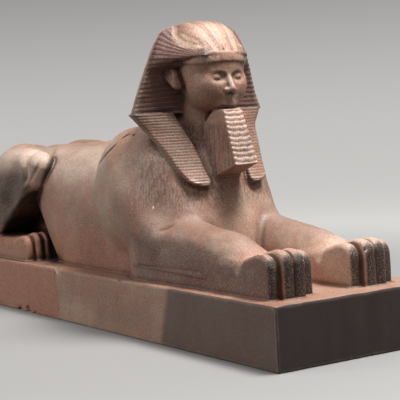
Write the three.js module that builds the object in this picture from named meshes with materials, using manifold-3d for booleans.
// A recumbent royal sphinx of granite, carved in one block with its low plinth.
//
// Millimetres, +Z up. The origin is the middle of the plinth's underside, and the
// sphinx looks along -Y. Inside the helpers a place is (x, s, z), where s is the
// distance behind the plinth's front face, so that s runs from the paws to the rump.

import * as THREE from 'three';
import { mergeVertices } from 'three/addons/utils/BufferGeometryUtils.js';
import Module from 'manifold-3d';

// ---- driving dimensions ------------------------------------------------------------

const LENGTH = 3430;
const WIDTH = 920;
const HEIGHT = 1640;
const PLINTH_HEIGHT = 300;
const ROOT = 280;                 // limbs start this high, a little inside the plinth
const PLINTH_EDGE = 8;            // worn edge of the plinth's top

// Outlines along the body: pairs of [distance behind the front face, value].
const BACK_LINE = [[1450, 1220], [1600, 1185], [1750, 1140], [1960, 1075], [2200, 1020],
  [2500, 1000], [3000, 995], [3400, 960]];
const BODY_HALF_WIDTH = [[1200, 300], [1600, 330], [2100, 333], [2500, 322], [3000, 300],
  [3300, 280]];
const FLANK_TOP = 1000;
const FLANK_MIDDLE = 580;

// The chest's front: pairs of [height, distance behind the front face].
const CHEST_LINE = [[300, 900], [450, 900], [560, 925], [657, 962], [776, 1015], [890, 1055],
  [980, 1100], [1070, 1170], [1200, 1300]];

// Forelegs: the crest of the arm and its outer side, along s.
const ARM_CREST = [[300, 482], [420, 512], [560, 560], [750, 590], [920, 612], [1100, 625],
  [1300, 600]];
const ARM_OUTER = [[300, 376], [600, 382], [800, 390], [1000, 398], [1200, 408], [1360, 405]];
const ARM_INNER = 142;
const ARM_BACK = 1420;
const ARM_PANEL = { from: 640, height: 362, depth: 14 };   // sunk panel under the forearm

// The left foreleg lies nearer the middle than the right one, and its crest is lower.
// The difference dies away towards the shoulder.
const LEFT_FORELEG = { inward: 42, lower: 16, from: 1400, full: 850 };

// Rounded masses: a ball's centre and half sizes, or a limb's two ends with their radii.
const SHOULDER_BLADE = [[225, 1530, 740], [193, 410, 360]];
const UPPER_ARM = [[270, 1420, 720, 165], [285, 1160, 500, 135]];
const NAPE = [[0, 1400, 1030], [290, 225, 175]];
const PIGTAIL = [[0, 1420, 1220, 115], [0, 1800, 1090, 55]];
const HAUNCH = [[200, 3010, 655], [205, 395, 350]];
const KNEE = [[300, 2780, 885, 96], [225, 3050, 850, 145]];
const THIGH_DISH = [[446, 2800, 835, 70], [450, 2960, 640, 92]];
const NECK = [[0, 1190, 1250, 112], [0, 1240, 1050, 136], [0, 1290, 850, 160]];

// Paws: centre from the middle plane, half width, front face, top of the knuckles,
// length of the toes, and the length and top of the palm behind them.
const FORE_PAW = {
  middle: 259, half: 128, front: 105, top: 524, length: 240, palm: 380, palmTop: 482,
};
const HIND_PAW = {
  middle: 300, half: 112, front: 2655, top: 470, length: 240, palm: 500, palmTop: 436,
};
const TOES = 4;
const KNUCKLE = 66;               // radius of a toe's bent knuckle
const TOE_BEVEL = 16;
const PAW_BOW = 36;               // how far the outer toes stand back from the middle ones
const TOE_DROP = 16;              // and how much lower they are

// Hindquarters.
const SHIN_LINE = [[2560, 862], [2600, 800], [3200, 400]];
const HOLLOW = { top: [2870, 710], foot: [2490, 300], inner: 160, ceiling: 900, back: 3120 };
const SHIN = [[286, 2690, 905, 60], [292, 2662, 855, 82], [312, 2690, 785, 52],
  [356, 2770, 728, 26], [364, 2870, 652, 22], [372, 3030, 545, 25], [376, 3200, 430, 36]];
const TAIL = [[20, 3345, 640, 50], [-90, 3372, 520, 46], [-210, 3368, 432, 42],
  [-340, 3310, 410, 38], [-392, 3225, 500, 35], [-396, 3190, 620, 34], [-388, 3215, 735, 44],
  [-380, 3235, 800, 22]];

// Headcloth (nemes): half width and top outline of the wings by height.
const WING_HALF_WIDTH = [[1100, 435], [1170, 408], [1260, 374], [1340, 348], [1420, 318],
  [1510, 280], [1570, 246], [1605, 206], [1630, 100], [1660, 20]];
const CLOTH_BACK = [[1100, 300], [1200, 310], [1350, 300], [1500, 250], [1580, 190],
  [1620, 120], [1650, 30]];
const CROWN_TOP = [[930, 1420], [955, 1462], [990, 1512], [1026, 1552], [1090, 1605],
  [1148, 1632], [1220, 1640], [1350, 1600], [1460, 1500]];
const CROWN_FRONT = [[1440, 948], [1462, 957], [1512, 992], [1552, 1028], [1605, 1090],
  [1632, 1145], [1640, 1200]];
const CROWN_HALF_WIDTH = [[940, 100], [970, 122], [1000, 139], [1050, 162], [1100, 184],
  [1150, 200], [1220, 211], [1350, 200]];
const CLOTH_HEM = 1160;           // level edge where the wings meet the lappets
const BAND = 1450;                // lower edge of the cloth over the forehead
const TEMPLE = 170;               // below it the cloth stands back this far, behind the brow
const PLEAT = 29;                 // pitch of the cloth's horizontal pleats
const PLEAT_DEPTH = 5;

// Lappets hanging from the wings on to the chest, by height.
const LAPPET_TIP = 785;
const LAPPET_OUTER = [[700, 120], [785, 195], [810, 235], [890, 272], [980, 300], [1070, 338],
  [1120, 366], [1170, 396]];
const LAPPET_INNER = [[780, 120], [880, 128], [990, 148], [1040, 160], [1160, 195]];
const LAPPET_FACE = [[750, 965], [790, 975], [880, 1028], [990, 1085], [1040, 1110],
  [1160, 1185]];
const LAPPET_BEND = [[790, 10], [890, 45], [980, 62], [1070, 95], [1160, 80]];
const LAPPET_THICKNESS = 46;

// False beard: a plank seen from the side, with level ridges on its front.
const BEARD = { top: 1172, foot: 886, topFront: 930, footFront: 825, topHalf: 58, footHalf: 72 };
const BEARD_RIDGES = 11;
const BEARD_RIDGE_DEPTH = 7;

// Face: thirds from the band to the chin, and five eye widths across.
const CHIN = 1168;
const MOUTH = 1232;
const NOSE = 1262;
const EYE = 1336;
const BROW = 1365;
const FACE_HALF_WIDTH = 163;
const EYE_SPREAD = 62;

// ---- field arithmetic --------------------------------------------------------------
// A form is a function of (x, s, z) that is negative inside, near the true distance.

const { abs, exp, hypot, max, min, sqrt, sin, cos, PI } = Math;

function blend(a, b, radius) {
  const near = max(radius - abs(a - b), 0) / radius;
  return min(a, b) - near * near * radius / 4;
}

function carve(a, b, radius) {
  return -blend(-a, -b, radius);
}

function ramp(value, from, to) {
  return THREE.MathUtils.smoothstep(value, from, to);
}

// A smooth line through a table of [station, value] pairs.
function along(table, at) {
  const last = table.length - 1;
  const place = THREE.MathUtils.clamp(at, table[0][0], table[last][0]);
  let i = 0;
  while (i < last - 1 && place > table[i + 1][0]) i += 1;
  const slope = (a, b) => (table[b][1] - table[a][1]) / (table[b][0] - table[a][0]);
  const width = table[i + 1][0] - table[i][0];
  const t = (place - table[i][0]) / width;
  const enter = slope(max(i - 1, 0), i + 1) * width;
  const leave = slope(i, min(i + 2, last)) * width;
  const rise = t * t * (3 - 2 * t);
  return table[i][1] * (1 - rise) + table[i + 1][1] * rise
    + enter * t * (1 - t) ** 2 - leave * t * t * (1 - t);
}

function ball([x, s, z], [cx, cs, cz], [rx, rs, rz]) {
  const a = x - cx;
  const b = s - cs;
  const c = z - cz;
  const near = sqrt((a / rx) ** 2 + (b / rs) ** 2 + (c / rz) ** 2);
  const steep = sqrt((a / rx ** 2) ** 2 + (b / rs ** 2) ** 2 + (c / rz ** 2) ** 2) + 1e-9;
  return near * (near - 1) / steep;
}

// A limb with round ends, thicker at one end than at the other.
function limb([x, s, z], [ax, as, az, ar], [bx, bs, bz, br]) {
  const d = [bx - ax, bs - as, bz - az];
  const dot = (x - ax) * d[0] + (s - as) * d[1] + (z - az) * d[2];
  const t = THREE.MathUtils.clamp(dot / (d[0] ** 2 + d[1] ** 2 + d[2] ** 2), 0, 1);
  const gap = hypot(x - ax - t * d[0], s - as - t * d[1], z - az - t * d[2]);
  return gap - (ar + (br - ar) * t);
}

// ---- forms of the lion's body ------------------------------------------------------

function trunk([x, s, z]) {
  const across = abs(x);
  const groin = ramp(s - (2300 + (z - PLINTH_HEIGHT) * 0.72), 0, 340);
  const half = along(BODY_HALF_WIDTH, s) - 55 * groin;
  const ridge = along(BACK_LINE, s) - 1000;
  const top = FLANK_TOP - 30 * ramp(s, 3000, 3350) + ridge * exp(-((across / 170) ** 2));
  const u = across / half;
  const w = max(z - FLANK_MIDDLE, 0) / (top - FLANK_MIDDLE);
  const e = max(s - 3000, 0) / 375 + max(1450 - s, 0) / 450;
  return ((u ** 2.4 + w ** 2.2 + e ** 2.8) ** (1 / 2.3) - 1) * 280;
}

function chest([x, s, z]) {
  const across = abs(x);
  const bow = 0.62e-3 * across ** 2 + 2.2e-3 * max(across - 260, 0) ** 2;
  let form = (along(CHEST_LINE, z) + bow - s) * 0.8;
  form = carve(form, across - 375, 160);
  form = carve(form, z - 1040, 120);
  return carve(form, s - 1500, 100);
}

function shoulder([x, s, z]) {
  const place = [abs(x), s, z];
  return blend(ball(place, ...SHOULDER_BLADE), limb(place, ...UPPER_ARM), 100);
}

function nape(place) {
  return blend(ball(place, ...NAPE), limb(place, ...PIGTAIL), 40);
}

function body(place) {
  const torso = blend(trunk(place), chest(place), 60);
  const front = blend(torso, shoulder(place), 35);
  return max(blend(front, nape(place), 40), ROOT - place[2]);
}

// The haunch on the side where x is positive.
function haunch(place) {
  const [u, v, w] = place.map((at, i) => abs(at - HAUNCH[0][i]) / HAUNCH[1][i]);
  const mass = ((u ** 2.3 + v ** 2.9 + w ** 2.5) ** (1 / 2.5) - 1) * 200;
  return carve(blend(mass, limb(place, ...KNEE), 50), -limb(place, ...THIGH_DISH), 50);
}

// ---- forms of the head -------------------------------------------------------------

function wings([x, s, z]) {
  const across = abs(x);
  const half = along(WING_HALF_WIDTH, z);
  const edge = 1260 - 40 * ramp(z, 1170, 1510);
  const v = max(s - edge, 0) / along(CLOTH_BACK, z);
  const shell = (((across / half) ** 1.5 + v ** 1.5) ** (1 / 1.5) - 1) * 220;
  const slope = 0.12 + 1.35 * ramp(z, 1370, 1455) - 0.9 * ramp(z, 1450, 1620);
  const brow = along(CROWN_FRONT, z) + 12 + TEMPLE * (1 - ramp(z, BAND - 20, BAND));
  const face = max(edge - slope * max(half - across, 0), brow);
  return max(shell, (face - s) / hypot(1, slope), z - HEIGHT, CLOTH_HEM - z);
}

function crown([x, s, z]) {
  const across = abs(x);
  const base = BAND - 50;
  const w = max(z - base, 0) / max(along(CROWN_TOP, s) - base, 10);
  const u = across / along(CROWN_HALF_WIDTH, s);
  const dome = ((u ** 3.2 + w ** 2.6) ** (1 / 2.8) - 1) * 150;
  const brow = 952 + 1.3e-3 * across ** 2 - s;
  return max(dome, brow, BAND - z, s - 1400);
}

function headcloth(place) {
  return min(wings(place), crown(place));
}

function face([x, s, z]) {
  const place = [abs(x), s, z];
  let form = ball(place, [0, 1130, 1375], [FACE_HALF_WIDTH, 178, 200]);
  form = blend(form, ball(place, [0, 1075, 1248], [122, 125, 88]), 70);
  form = blend(form, ball(place, [70, 1052, 1300], [78, 90, 78]), 50);
  form = blend(form, ball(place, [0, 985, CHIN + 26], [48, 40, 30]), 35);
  form = blend(form, limb(place, [22, 962, BROW - 6, 10], [80, 985, BROW + 4, 10]), 22);
  form = carve(form, -ball(place, [EYE_SPREAD, 945, EYE], [46, 26, 24]), 20);
  form = blend(form, ball(place, [EYE_SPREAD, 990, EYE], [36, 32, 26]), 4);
  const bridge = limb(place, [0, 962, EYE + 12, 12], [0, 922, NOSE + 10, 18]);
  const nostril = ball(place, [20, 942, NOSE + 6], [13, 17, 12]);
  form = blend(form, blend(bridge, nostril, 10), 12);
  form = blend(form, limb(place, [0, 944, MOUTH + 9, 11], [36, 962, MOUTH + 3, 7]), 10);
  return blend(form, limb(place, [0, 947, MOUTH - 10, 11], [28, 960, MOUTH - 6, 7]), 10);
}

function ear([x, s, z]) {
  const place = [abs(x), s - 0.25 * (z - 1350), z];
  const rim = ball(place, [190, 1195, 1362], [36, 46, 56]);
  const lobe = ball(place, [186, 1175, 1312], [30, 26, 26]);
  const bowl = ball(place, [226, 1178, 1366], [20, 28, 36]);
  return carve(blend(rim, lobe, 20), -bowl, 8);
}

// ---- skins -------------------------------------------------------------------------

const toWorld = (x, s, z) => new THREE.Vector3(x, s - LENGTH / 2, z);

// The skin of a form: every vertex of a starting shape moves along its ray from an
// axis inside the form until it meets the surface.
function drape(geometry, axis, reach, form) {
  const points = geometry.attributes.position;
  for (let i = 0; i < points.count; i += 1) {
    const start = new THREE.Vector3().fromBufferAttribute(points, i);
    const centre = axis(start);
    const ray = start.clone().sub(centre).normalize();
    const at = (r) => form([centre.x + ray.x * r, centre.y + ray.y * r, centre.z + ray.z * r]);
    let outer = reach;
    while (outer > 0 && at(outer) > 0) outer -= reach / 80;
    let inner = max(outer, 0);
    outer = inner + reach / 80;
    for (let step = 0; step < 14; step += 1) {
      const middle = (inner + outer) / 2;
      if (at(middle) > 0) outer = middle;
      else inner = middle;
    }
    const hit = centre.clone().addScaledVector(ray, inner);
    points.setXYZ(i, hit.x, hit.y - LENGTH / 2, hit.z);
  }
  return geometry;
}

// A closed skin laid out in rings: place(turn, rise) gives each point, with the turn
// around the ring and the rise along it both from 0 to 1.
function loft(sides, rows, place) {
  const geometry = new THREE.CylinderGeometry(1, 1, 1, sides, rows);
  const points = geometry.attributes.position;
  for (let i = 0; i < points.count; i += 1) {
    const angle = Math.atan2(points.getX(i), points.getZ(i)) / (2 * PI);
    const side = (Math.round(angle * sides) + sides) % sides;
    const rise = Math.round((0.5 - points.getY(i)) * rows) / rows;
    const point = new THREE.Vector3();
    if (hypot(points.getX(i), points.getZ(i)) > 0.5) {
      point.copy(place(side / sides, rise));
    } else {
      for (let k = 0; k < sides; k += 1) point.addScaledVector(place(k / sides, rise), 1 / sides);
    }
    points.setXYZ(i, point.x, point.y, point.z);
  }
  return geometry;
}

// A round limb of changing thickness along a smooth line through [x, s, z, radius] joints.
function tube(joints, sides, rows) {
  const line = new THREE.CatmullRomCurve3(joints.map(([x, s, z]) => toWorld(x, s, z)));
  const radii = joints.map((joint, i) => [i / (joints.length - 1), joint[3]]);
  const frames = line.computeFrenetFrames(rows, false);
  return loft(sides, rows, (turn, rise) => {
    const row = Math.round(rise * rows);
    const out = frames.normals[row].clone().multiplyScalar(cos(turn * 2 * PI));
    out.addScaledVector(frames.binormals[row], sin(turn * 2 * PI));
    return line.getPoint(rise).addScaledVector(out, along(radii, rise));
  });
}

// A side view of [s, z] points, extruded across x and centred on the middle plane.
function slab(outline, thickness, options = {}) {
  const shape = new THREE.Shape(outline.map(([s, z]) => new THREE.Vector2(s, z)));
  const geometry = new THREE.ExtrudeGeometry(shape, {
    depth: thickness, bevelEnabled: false, steps: 1, ...options,
  });
  geometry.translate(-LENGTH / 2, 0, -thickness / 2);
  geometry.applyMatrix4(new THREE.Matrix4().makeBasis(
    new THREE.Vector3(0, 1, 0), new THREE.Vector3(0, 0, 1), new THREE.Vector3(1, 0, 0)));
  return geometry;
}

// ---- solids ------------------------------------------------------------------------

const wasm = await Module();
wasm.setup();

function solid(geometry) {
  const bare = new THREE.BufferGeometry();
  bare.setAttribute('position', geometry.attributes.position.clone());
  if (geometry.index) bare.setIndex(geometry.index.clone());
  const merged = mergeVertices(bare, 0.01);
  const points = merged.attributes.position;
  const corner = (i) => new THREE.Vector3().fromBufferAttribute(points, i);
  const faces = [];
  let volume = 0;
  for (let i = 0; i < merged.index.count; i += 3) {
    const [a, b, c] = [0, 1, 2].map((k) => merged.index.getX(i + k));
    if (a === b || b === c || c === a) continue;
    faces.push([a, b, c]);
    volume += corner(a).dot(corner(b).cross(corner(c)));
  }
  const turned = volume < 0 ? faces.map(([a, b, c]) => [a, c, b]) : faces;
  return new wasm.Manifold(new wasm.Mesh({
    numProp: 3,
    vertProperties: Float32Array.from(points.array),
    triVerts: Uint32Array.from(turned.flat()),
  }));
}

// ---- pieces of the block -----------------------------------------------------------

function plinthSkin() {
  const outline = [[0, 0], [LENGTH, 0], [LENGTH, PLINTH_HEIGHT - PLINTH_EDGE],
    [LENGTH - PLINTH_EDGE, PLINTH_HEIGHT], [PLINTH_EDGE, PLINTH_HEIGHT],
    [0, PLINTH_HEIGHT - PLINTH_EDGE]];
  return slab(outline, WIDTH);
}

function bodySkin() {
  const front = 1300;
  const back = 2980;
  const radius = 400;
  const start = new THREE.CapsuleGeometry(radius, back - front, 6, 30, 17);
  start.translate(0, (front + back) / 2, 620);
  const points = start.attributes.position;
  for (let i = 0; i < points.count; i += 1) {
    const t = (points.getY(i) - front) / (back - front);   // rows crowd at the shoulders
    if (t > 0 && t < 1) points.setY(i, front + (back - front) * t ** 1.25);
  }
  const axis = (p) => new THREE.Vector3(0, THREE.MathUtils.clamp(p.y, front, back), 620);
  return drape(start, axis, 760, body);
}

// The open triangle between belly, shin and hind paw, seen from the side: what is cut
// from the belly, and what is cut from the thigh so that it ends along the shin.
function bellyCut() {
  const { top, foot, inner, ceiling, back } = HOLLOW;
  const lean = (top[0] - foot[0]) / (top[1] - foot[1]);
  const roof = top[0] + (ceiling - top[1]) * lean;
  const outline = [foot, [roof, ceiling], [back, ceiling], [back, PLINTH_HEIGHT]];
  return slab(outline, 300).translate(inner + 150, 0, 0);
}

function thighCut() {
  const [[, knee], , [hock]] = SHIN_LINE;
  const outline = [[2400, ROOT], [2400, knee], ...SHIN_LINE, [hock, ROOT]];
  return slab(outline, 600).translate(300, 0, 0);
}

function armSkin() {
  const from = 240;
  const arc = 10;
  return loft(arc + 6, 13, (turn, rise) => {
    const s = from + (ARM_BACK - from) * rise;
    const outer = along(ARM_OUTER, s) - 40 * ramp(s, ARM_BACK - 60, ARM_BACK);
    const crest = along(ARM_CREST, s) - 60 * ramp(s, ARM_BACK - 60, ARM_BACK);
    const low = ARM_PANEL.height;
    const sunk = ARM_PANEL.depth * ramp(s, ARM_PANEL.from, ARM_PANEL.from + 60);
    const i = Math.round(turn * (arc + 6));
    if (i === arc + 2) return toWorld(outer, s, low + 4);
    if (i === arc + 3) return toWorld(outer - sunk, s, low - 4);
    if (i === arc + 4) return toWorld(outer - sunk, s, ROOT);
    if (i === arc + 5) return toWorld(ARM_INNER, s, ROOT);
    if (i === 0) return toWorld(ARM_INNER, s, low - 10);
    const angle = PI * (1 - (i - 1) / arc);
    const bulge = (v) => Math.sign(v) * abs(v) ** (2 / 2.6);
    const x = (outer + ARM_INNER) / 2 + bulge(cos(angle)) * (outer - ARM_INNER) / 2;
    return toWorld(x, s, low + 10 + bulge(sin(angle)) * (crest - low - 10));
  });
}

function leftForeleg(skin) {
  const { inward, lower, from, full } = LEFT_FORELEG;
  const points = skin.attributes.position;
  for (let i = 0; i < points.count; i += 1) {
    const s = points.getY(i) + LENGTH / 2;
    const share = 1 - ramp(s, full, from);
    const raised = ramp(points.getZ(i), PLINTH_HEIGHT, ARM_PANEL.height);
    points.setX(i, points.getX(i) - inward * share);
    points.setZ(i, points.getZ(i) - lower * share * raised * ramp(s, 400, 600));
  }
  return skin;
}

function toeSkin(paw, index) {
  const pitch = 2 * paw.half / TOES;
  const outward = abs(index - (TOES - 1) / 2) / ((TOES - 1) / 2);
  const front = paw.front + PAW_BOW * outward ** 2 + TOE_BEVEL;
  const top = paw.top - TOE_DROP * outward ** 2 - TOE_BEVEL;
  const outline = [[front + paw.length, ROOT + TOE_BEVEL], [front + 8, ROOT + TOE_BEVEL]];
  for (let i = 0; i <= 3; i += 1) {
    const angle = (PI / 2) * (i / 3);
    outline.push([front + KNUCKLE * (1 - cos(angle)), top - KNUCKLE * (1 - sin(angle))]);
  }
  outline.push([front + KNUCKLE + 60, top - 14], [front + paw.length, top - 70]);
  const toe = slab(outline, pitch - 2 * TOE_BEVEL - 2, {
    bevelEnabled: true, bevelThickness: TOE_BEVEL, bevelSize: TOE_BEVEL, bevelSegments: 1,
  });
  return toe.translate(paw.middle + (index - (TOES - 1) / 2) * pitch, 0, 0);
}

// The flat of the paw behind the toes.
function palmSkin(paw) {
  const [left, right] = [paw.middle - paw.half + 2, paw.middle + paw.half - 4];
  const tall = paw.palmTop - ROOT;
  const skin = new THREE.BoxGeometry(right - left, paw.palm, tall, 4, 1, 4);
  const points = skin.attributes.position;
  for (let i = 0; i < points.count; i += 1) {
    const u = points.getX(i) / ((right - left) / 2);
    const w = points.getZ(i) / (tall / 2);
    if (w > 0) points.setZ(i, points.getZ(i) - 34 * abs(u) ** 4 * w ** 2);
  }
  return skin.translate((left + right) / 2, paw.front + 80 + (paw.palm - LENGTH) / 2,
    ROOT + tall / 2);
}

function haunchSkin() {
  const centre = new THREE.Vector3(215, 3000, 700);
  const start = new THREE.SphereGeometry(300, 22, 14).rotateZ(PI / 2);
  return drape(start.translate(...centre), () => centre, 640, haunch);
}

function headSkin() {
  const centre = new THREE.Vector3(0, 1120, 1300);
  const rings = 17;
  const start = new THREE.SphereGeometry(1, 26, rings);
  const points = start.attributes.position;
  for (let i = 0; i < points.count; i += 1) {
    const turn = Math.atan2(points.getZ(i), points.getX(i));
    const t = Math.acos(-points.getY(i)) / PI;          // 0 at the nose, 1 behind
    const away = PI * (0.42 * t + 0.58 * t * t);
    const side = sin(away);
    points.setXYZ(i, centre.x + side * cos(turn), centre.y - cos(away),
      centre.z + side * sin(turn));
  }
  return drape(start, () => centre, 300, face);
}

function earSkin() {
  const centre = new THREE.Vector3(188, 1192, 1350);
  const start = new THREE.SphereGeometry(50, 10, 8).rotateY(PI / 2);
  return drape(start.translate(...centre), () => centre, 120, ear);
}

// Distance from the front at which the headcloth begins, at one place across it.
function clothFront(across, z) {
  let s = 930;
  while (s < 1300 && headcloth([across, s, z]) > 0) s += 4;
  return s;
}

function clothSkin() {
  const half = 10;                              // points on each half of the front
  const rear = 6;                               // and on each half of the back
  const sides = 2 * (half + rear);
  const levels = [];
  for (let z = CLOTH_HEM; z < BAND - PLEAT; z += PLEAT / 2) levels.push(z);
  levels.push(BAND - 6, BAND + 2, 1482, 1516, 1552, 1588, 1612, 1630, HEIGHT);
  const point = (across, z, row) => {
    const width = along(WING_HALF_WIDTH, z);
    const s = clothFront(min(across * width, width - 1), z);
    const pleated = z < BAND - PLEAT && across > 0.4 && across < 1;
    return [across * width, s + (pleated && row % 2 ? PLEAT_DEPTH : 0)];
  };
  return loft(sides, levels.length - 1, (turn, rise) => {
    const row = Math.round(rise * (levels.length - 1));
    const z = levels[row];
    const step = Math.round(turn * sides);
    const right = step <= sides / 2;
    const i = right ? step : sides - step;
    const sign = right ? 1 : -1;
    if (i <= half) {
      const [x, s] = point((i / half) ** 0.9, z, row);
      return toWorld(sign * x, s, z);
    }
    const edge = 1260 - 40 * ramp(z, 1170, 1510);
    const angle = (PI / 2) * ((i - half) / rear);
    const x = along(WING_HALF_WIDTH, z) * cos(angle) ** (2 / 1.5);
    return toWorld(sign * x, edge + along(CLOTH_BACK, z) * sin(angle) ** (2 / 1.5), z);
  });
}

function lappetSkin() {
  const across = 3;
  const top = 1172;
  const ribs = Math.round((top - LAPPET_TIP) / PLEAT);
  const rows = ribs * 2;
  const skin = new THREE.BoxGeometry(1, 1, 1, across, 1, rows);
  const points = skin.attributes.position;
  for (let i = 0; i < points.count; i += 1) {
    const u = points.getX(i) + 0.5;
    const row = Math.round((points.getZ(i) + 0.5) * rows);
    const z = LAPPET_TIP + (top - LAPPET_TIP) * row / rows;
    const inner = along(LAPPET_INNER, z);
    const outer = along(LAPPET_OUTER, z);
    const front = along(LAPPET_FACE, z) + along(LAPPET_BEND, z) * u ** 1.6;
    const rib = row % 2 && row < rows ? PLEAT_DEPTH : 0;
    const behind = LAPPET_THICKNESS + 1.1 * (outer - inner) * (1 - u);
    const s = points.getY(i) < 0 ? front + rib : front + behind;
    const place = toWorld(inner + (outer - inner) * u, s, z);
    points.setXYZ(i, place.x, place.y, place.z);
  }
  return skin;
}

function beardSkin() {
  const { top, foot, topFront, footFront, topHalf, footHalf } = BEARD;
  const outline = [[1020, 823], [1090, 900], [1125, 1020], [1120, 1090], [1090, 1140],
    [1030, top]];
  const pitch = (top - foot) / BEARD_RIDGES;
  for (let i = 0; i < BEARD_RIDGES; i += 1) {
    const z = top - i * pitch;
    const front = (at) => topFront + (footFront - topFront) * (top - at) / (top - foot);
    outline.push([front(z) + BEARD_RIDGE_DEPTH, z], [front(z - pitch / 2), z - pitch / 2]);
  }
  outline.push([footFront, foot]);
  const skin = slab(outline, 2);
  const points = skin.attributes.position;
  for (let i = 0; i < points.count; i += 1) {
    const t = THREE.MathUtils.clamp((points.getZ(i) - foot) / (top - foot), 0, 1);
    points.setX(i, points.getX(i) * (footHalf + (topHalf - footHalf) * t));
  }
  return skin;
}

// ---- the block ---------------------------------------------------------------------

// A skin on the left side, and its mirror image on the right.
const pair = (skin) => [skin, skin.clone().scale(-1, 1, 1)];

function sphinx() {
  const foreleg = [armSkin(), palmSkin(FORE_PAW)];
  const sides = [palmSkin(HIND_PAW), tube(SHIN, 8, 12), earSkin(), lappetSkin()];
  for (let i = 0; i < TOES; i += 1) {
    foreleg.push(toeSkin(FORE_PAW, i));
    sides.push(toeSkin(HIND_PAW, i));
  }
  const middle = [headSkin(), tube(NECK, 14, 3), clothSkin(), beardSkin(),
    tube(TAIL, 8, 16), plinthSkin()];
  const hollows = pair(thighCut()).map(solid);
  const thighs = pair(haunchSkin()).map((skin, i) => solid(skin).subtract(hollows[i]));
  let block = solid(bodySkin());
  for (const skin of pair(bellyCut())) block = block.subtract(solid(skin));
  for (const thigh of thighs) block = block.add(thigh);
  for (const [left, right] of foreleg.map(pair)) {
    block = block.add(solid(leftForeleg(left))).add(solid(right));
  }
  for (const skin of [...sides.flatMap(pair), ...middle]) block = block.add(solid(skin));
  return block;
}

function toGeometry(manifold) {
  const mesh = manifold.getMesh();
  const geometry = new THREE.BufferGeometry();
  geometry.setAttribute('position', new THREE.BufferAttribute(mesh.vertProperties, 3));
  geometry.setIndex(new THREE.BufferAttribute(mesh.triVerts, 1));
  geometry.computeVertexNormals();
  return geometry;
}

const granite = new THREE.MeshStandardMaterial({
  color: 0xa07563, roughness: 0.62, metalness: 0, flatShading: true,
});

const statue = new THREE.Mesh(toGeometry(sphinx()), granite);
statue.name = 'sphinx';

const group = new THREE.Group();
group.add(statue);

export default group;
